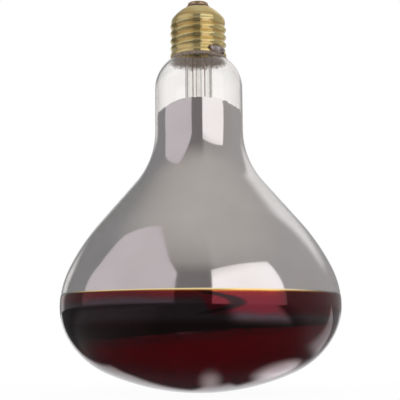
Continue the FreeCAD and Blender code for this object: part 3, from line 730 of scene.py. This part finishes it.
# Clear ruby below a sloping line, higher on the right and at the back
clear_tone = (0.228, 0.022, 0.042, 1.0)
clear_depth, clear_slope_x, clear_slope_y = 0.1560, -0.095, -0.029
clear_start = calculate(tree, "MULTIPLY_ADD", at["X"], clear_slope_x,
                        calculate(tree, "MULTIPLY_ADD", at["Y"], clear_slope_y, clear_depth))
clearing = ease(tree, calculate(tree, "SUBTRACT", depth_here, clear_start), -0.0012, 0.002)
tone = blend(tree, clearing, lacquer_with_painted_dark, clear_tone)

# Painted highlight: a glow in the bead along the edge, away from its left and right ends
dark = (0.0, 0.0, 0.0)
painted_bead_glow = ramp(tree, below_edge, [(0.0, (0.40, 0.37, 0.28)), (0.03, (0.36, 0.28, 0.11)),
                               (0.07, (0.04, 0.01, 0.0)), (0.10, dark)])
off_ends = calculate(tree, "MULTIPLY", ease(tree, at["X"], -0.060, -0.040), ease(tree, at["X"], 0.056, 0.030))
painted_bead_glow = blend(tree, off_ends, (*dark, 1.0), painted_bead_glow)
set_shader(tree, shader, Base_Color=tone, Roughness=0.03, IOR=1.40, Transmission_Weight=1.0,
           Emission_Color=painted_bead_glow, Emission_Strength=1.0)
place_piece("lacquer_skin", lacquer_skin, ruby, "red_coating")

# Glass insulator: black glass pressed hot into the top of the brass cap and round the skirt of
# the eyelet. Its band shows as a dark ring between the brass lip and the centre contact.
seat = 0.00002
shell_wall = 0.0003
lip_radius, lip_depth = 0.006, 0.0031
dome_arc, dome_start, dome_end = 0.0178, math.radians(28), math.radians(55)
eyelet_radius, eyelet_hole, eyelet_wall = 0.00485, 0.001, 0.0005
eyelet_flat, eyelet_skirt = 0.0005, 0.0022
insulator_depth, insulator_foot = 0.0092, 0.0117
well_mouth, well_neck, well_top = 0.0075, 0.0041, 0.0066
pressed_edge = 0.00013


def dome_line(inset, steps):
    """Radius and depth along the cap's dome, moved inwards by inset: one arc from the lip."""
    way = np.linspace(dome_start, dome_end, steps)
    radius = lip_radius + dome_arc * (np.sin(way) - math.sin(dome_start)) - inset * np.sin(way)
    depth = lip_depth + dome_arc * (math.cos(dome_start) - np.cos(way)) + inset * np.cos(way)
    return radius, depth


def lathed(name, outline):
    """A closed ring turned from a closed outline of (radius, depth) points, with sharp corners."""
    outline = np.array(outline)
    mesh = skin_mesh(name, turned(outline[:, 0], -outline[:, 1], 96), ends="ring", flip=True)
    mesh.set_sharp_from_angle(angle=math.radians(40))
    return mesh


under_flat = eyelet_flat + eyelet_wall + seat
under_skirt = eyelet_skirt + seat
inside_skirt = eyelet_radius - eyelet_wall - seat
lip_inside = lip_radius - shell_wall
under_dome = [(radius, depth) for radius, depth in zip(*dome_line(shell_wall + seat, 24))
              if depth < insulator_depth - 0.0001]
insulator = lathed("glass_insulator", [
    (eyelet_hole, under_flat), (inside_skirt - pressed_edge, under_flat),
    (inside_skirt, under_flat + pressed_edge), (inside_skirt, under_skirt), (eyelet_radius, under_skirt),
    (0.00562, 0.00252), (lip_inside, 0.00262), (lip_inside, 0.0034), *under_dome,
    (insulator_foot, insulator_depth), (well_mouth, insulator_depth), (well_neck, well_top),
    (eyelet_hole, well_top)])
black_glass, tree, shader, swirl = patchy("black_glass", 500.0, (0.012, 0.010, 0.012),
                                          (0.03, 0.026, 0.03), (0.22, 0.12))
set_shader(tree, shader, Base_Color=swirl["Colour"], Roughness=swirl["Roughness"])
place_piece("glass_insulator", insulator, black_glass, "base_insulator")

# Centre contact: a brass eyelet, tinned dull, drawn as a shallow cup with a round edge. The
# glass insulator is pressed round its skirt and holds it in the middle of the cap.
contact = lathed("tinned_eyelet", [
    (eyelet_hole, eyelet_flat), (0.00405, eyelet_flat), (0.0043, 0.00054), (0.0046, 0.0007),
    (0.00478, 0.00095), (eyelet_radius, 0.0013), (eyelet_radius, eyelet_skirt),
    (eyelet_radius - eyelet_wall, eyelet_skirt), (eyelet_radius - eyelet_wall, eyelet_flat + eyelet_wall),
    (eyelet_hole, eyelet_flat + eyelet_wall)])
tinned = patchy_metal("tinned_brass", 420.0, (0.52, 0.36, 0.22), (0.78, 0.60, 0.42), (0.42, 0.32))
place_piece("tinned_eyelet", contact, tinned, "centre_contact")

# Centre solder: a low dome of soft solder, run hot into the eyelet's hole. It closes the hole
# over the end of the centre lead, and it is the lamp's topmost point.
solder_columns = 72
drop_reach, drop_fall, drop_start = 0.0022, 0.0005, 0.0001
plug_radius = eyelet_hole - seat
angle = full_turn(solder_columns)
drop_radius = np.linspace(drop_start, drop_reach, 16)[:, None]
drop_depth = drop_fall * (drop_radius / drop_reach) ** 2.2
wobble = 1 + 0.05 * np.sin(2 * angle + 0.7) + 0.03 * np.sin(5 * angle)
drop_top = turned(drop_radius * wobble, -drop_depth, solder_columns)
plug = turned([plug_radius, plug_radius, drop_start],
              [-eyelet_flat, -eyelet_flat - eyelet_wall, -eyelet_flat - eyelet_wall], solder_columns)
centre_drop = skin_mesh("centre_drop", np.concatenate([drop_top, plug]), flip=True)
centre_drop.set_sharp_from_angle(angle=math.radians(50))
solder_metal, tree, shader, grain = patchy("solder_metal", 650.0, (0.34, 0.28, 0.25), (0.70, 0.64, 0.61),
                                           (0.42, 0.30))
set_shader(tree, shader, Base_Color=grain["Colour"], Metallic=1.0, Roughness=grain["Roughness"],
           Normal=bumped(tree, grain["Height"], 0.35, 0.0002))
place_piece("centre_drop", centre_drop, solder_metal, "centre_solder")

# Screw cap: thin brass, drawn and then rolled into a round thread of seven turns to the inch,
# with a domed top that grips the glass insulator and a plain flared band at the rim.
crest_radius, root_radius = 0.0131, 0.0122
thread_pitch, thread_crest_depth, thread_runout = 0.0254 / 7, 0.0102, 0.0024
rim_band, rim_flare_share = 0.0022, 0.6
rim_round, rim_lift = 0.18, 0.0001
mean_radius = (crest_radius + root_radius) / 2
thread_wave = (crest_radius - root_radius) / 2
dome_rows, corner_rows, thread_rows, band_rows = 22, 10, 96, 12
shell_columns = 144


def smooth_step(value):
    """0 below 0, 1 above 1, with a smooth rise between."""
    value = np.clip(value, 0, 1)
    return value * value * (3 - 2 * value)


def shell_line():
    """Mean line of the brass from lip to rim: radius, depth, outward slope and wave share."""
    dome_radius, dome_depth = dome_line(0.0, dome_rows)
    way = np.linspace(dome_start, dome_end, dome_rows)
    corner = (mean_radius - dome_radius[-1]) / (1 - math.sin(dome_end))
    turn = np.linspace(dome_end, math.pi / 2, corner_rows)[1:]
    corner_radius = dome_radius[-1] + corner * (np.sin(turn) - math.sin(dome_end))
    corner_depth = dome_depth[-1] + corner * (math.cos(dome_end) - np.cos(turn))
    top, bottom = corner_depth[-1], cap_length - rim_band
    thread_depth = np.linspace(top, bottom, thread_rows)[1:]
    band_depth = np.linspace(bottom, cap_length, band_rows)[1:]
    flare = smooth_step((band_depth - bottom) / rim_band / rim_flare_share)
    radius = np.concatenate([dome_radius, corner_radius, np.full(thread_rows - 1, mean_radius),
                             mean_radius + (rim_radius - mean_radius) * flare])
    depth = np.concatenate([dome_depth, corner_depth, thread_depth, band_depth])
    slope = np.concatenate([way, turn, np.full(thread_rows + band_rows - 2, math.pi / 2)])
    wave = smooth_step(np.minimum(depth - top, bottom - depth) / thread_runout)
    return radius, depth, slope, wave


def shell_skin(inward):
    """The brass at a depth inside its outer face.

    The thread is a cosine wave on the mean line. Its phase, in turns, is the depth over the
    pitch plus the bearing, so the crest winds round the cap one pitch a turn.
    """
    radius, depth, slope, wave = (part[:, None] for part in shell_line())
    phase = 2 * np.pi * (depth - thread_crest_depth) / thread_pitch + full_turn(shell_columns)
    lift = wave * thread_wave * np.cos(phase) - inward
    return turned(radius + np.sin(slope) * lift, -depth + np.cos(slope) * lift, shell_columns)


outside, inside = shell_skin(0.0), shell_skin(shell_wall)
rim_outer, rim_inner = outside[-1].copy(), inside[-1].copy()
rim_edge = np.stack([rim_outer + (rim_inner - rim_outer) * share
                     for share in (rim_round, 0.5, 1 - rim_round)])
outside[-1, :, 2] += rim_lift
inside[-1, :, 2] += rim_lift
shell = skin_mesh("brass_cap", np.concatenate([outside, rim_edge, inside[::-1]]), ends="ring", flip=True)
shell.set_sharp_from_angle(angle=math.radians(60))

brass, tree, shader, smudge = patchy("rolled_brass", 160.0, (0.96, 0.73, 0.29), (1.0, 0.87, 0.44),
                                     (0.26, 0.21))
place = object_place(tree)
# Painted shade: darker brass in the thread roots below the dome
root_painted_shade, solder_painted_shade = (0.74, 0.48, 0.17, 1.0), (0.16, 0.10, 0.05, 1.0)
shade_squash, shade_middle = 2.2, (0.0090, -0.0093, -0.0561)
height = split(tree, place)["Z"]
off_axis = measure(tree, "LENGTH", stretched(tree, place, (1.0, 1.0, 0.0)))
off_roots = calculate(tree, "MAXIMUM", ease(tree, off_axis, 0.0120, 0.0126), ease(tree, height, -0.0095, -0.007))
tone = blend(tree, off_roots, root_painted_shade, smudge["Colour"])
# Painted shade: a dark patch round the side solder, squashed in height
off_solder = measure(tree, "DISTANCE", stretched(tree, place, (1.0, 1.0, shade_squash)), shade_middle)
tone = blend(tree, ease(tree, off_solder, 0.0060, 0.0050), tone, solder_painted_shade)
turning = add_node(tree, "ShaderNodeTangent", direction_type="RADIAL", axis="Z")
set_shader(tree, shader, Base_Color=tone, Metallic=1.0, Roughness=smudge["Roughness"],
           Anisotropic=1.0, Anisotropic_Rotation=0.25, Tangent=turning.outputs[0])
place_piece("brass_cap", shell, brass, "screw_shell")

# Cement: a ring of baked paste between the cap and the glass collar. It shows below the rim as
# a thin lap on the shoulder, streaked and ragged where it was wiped off.
cement_columns = 180
cement_top, lap_depth, lap_retreat = 0.0235, 0.03, 0.0006
lap_skin, lap_gap, lap_round = 0.00042, 0.00005, 0.12
lap_start = cap_length + seat
rim_inside = rim_radius - shell_wall
angle = full_turn(cement_columns)
ragged = (0.0004 * np.sin(3 * angle + 1.0) + 0.0003 * np.sin(7 * angle + 0.3)
          + 0.0002 * np.sin(17 * angle + 2.0) + 0.00012 * np.sin(31 * angle))
lap_end = lap_depth - lap_retreat + ragged
share = np.linspace(0, 1, 14)[:, None]
lap_run = run_at_depth(lap_end) + (run_at_depth(cement_top) - run_at_depth(lap_end)) * share
inside_radius, inside_height = along_bulb(lap_run, lap_gap)
outer_depth = lap_end + (lap_start - lap_end) * np.linspace(lap_round, 1, 9)[:, None]
glass_radius = along_bulb(run_at_depth(outer_depth), 0.0)[0]
swell = smooth_step((lap_end - outer_depth) / (lap_end - lap_start))
outer_radius = glass_radius + lap_skin + (rim_inside - glass_radius - lap_skin) * swell
in_cap = np.array([(rim_inside - seat, cap_length - 0.0001),
                   (root_radius - shell_wall - seat, cap_length - rim_band),
                   (root_radius - shell_wall - seat, cement_top)])
every_way = np.ones_like(angle)
cement_radius = np.concatenate([outer_radius, in_cap[:, :1] * every_way, inside_radius[::-1]])
cement_height = np.concatenate([-outer_depth * every_way, -in_cap[:, 1:] * every_way, inside_height[::-1]])
cement_ring = skin_mesh("cement_ring", turned(cement_radius, cement_height, cement_columns), ends="ring")

cement, tree, shader, crumb = patchy("baked_cement", 800.0, (0.08, 0.06, 0.045), (0.20, 0.16, 0.125),
                                     (0.9, 0.8))
place = object_place(tree)
fade_depth, fade_length, streak_strength, streak_length = 0.0272, 0.0020, 1.6, 0.12
height = split(tree, place)["Z"]
streaks = add_node(tree, "ShaderNodeTexNoise", {"Vector": stretched(tree, place, (1.0, 1.0, streak_length)),
                                                "Scale": 700.0, "Detail": 3.0})
thin = calculate(tree, "MULTIPLY_ADD", calculate(tree, "ADD", height, fade_depth), 1.0 / fade_length, 1.0)
streaked = calculate(tree, "MULTIPLY_ADD", streaks.outputs["Fac"], streak_strength, -streak_strength / 2)
shows = calculate(tree, "ADD", thin, streaked, clamp=True)
# Painted light: an emitted glow, with the patches, that stands in for light coming in through the glass
painted_glow = blend(tree, crumb["Height"], (0.06, 0.045, 0.035, 1.0), (0.20, 0.165, 0.14, 1.0))
set_shader(tree, shader, Base_Color=crumb["Colour"], Roughness=crumb["Roughness"],
           Normal=bumped(tree, crumb["Height"], 0.5, 0.0002), Emission_Color=painted_glow,
           Emission_Strength=1.0, Alpha=shows)
place_piece("cement_ring", cement_ring, cement, "base_cement")

# Side solder: a smear of soft solder that joins the side lead to the outside of the cap just
# above its rim, wider than it is tall.
smear_turn = math.radians(-46)
smear_depth, smear_middle = 0.0252, 0.012425
smear_width, smear_height, smear_bulge = 0.0046, 0.0018, 0.00145
ripple_height, smear_stands_out, smear_sinks_in = 0.00006, 0.00002, 0.00005
smear_columns, smear_rows = 64, 22
angle = full_turn(smear_columns)
spread = np.sin(np.linspace(0.02, 1, smear_rows) * np.pi / 2)[:, None]
lobes = 1 + 0.05 * np.sin(3 * angle + 0.5) + 0.04 * np.sin(5 * angle + 2.0)
across = smear_width * spread * np.cos(angle) * lobes
up = smear_height * spread * np.sin(angle) * lobes
bulge = smear_middle + smear_bulge * np.sqrt(np.clip(1 - spread ** 2, 0, 1)) * np.ones_like(angle)
line_radius, line_depth, _, line_wave = shell_line()
depth_here = smear_depth - up
brass_phase = 2 * np.pi * (depth_here - thread_crest_depth) / thread_pitch + smear_turn + across / rim_radius
brass_face = (np.interp(depth_here, line_depth, line_radius)
              + np.interp(depth_here, line_depth, line_wave) * thread_wave * np.cos(brass_phase))
brass_out = np.sqrt(np.maximum(brass_face ** 2 - across ** 2, 0))
ripple = ripple_height * (np.sin(across * 2600 + 1) + np.sin(up * 4200 + across * 1500))
front_out = np.maximum(bulge + ripple, brass_out + smear_stands_out)
back_out = brass_out - smear_sinks_in
smear = np.concatenate([np.stack([front_out, across, up - smear_depth], -1),
                        np.stack([back_out, across, up - smear_depth], -1)[::-1]])
swing = np.array([[math.cos(smear_turn), -math.sin(smear_turn), 0],
                  [math.sin(smear_turn), math.cos(smear_turn), 0], [0, 0, 1]])
side_smear = skin_mesh("side_smear", smear @ swing.T, flip=True)
place_piece("side_smear", side_smear, solder_metal, "side_solder")
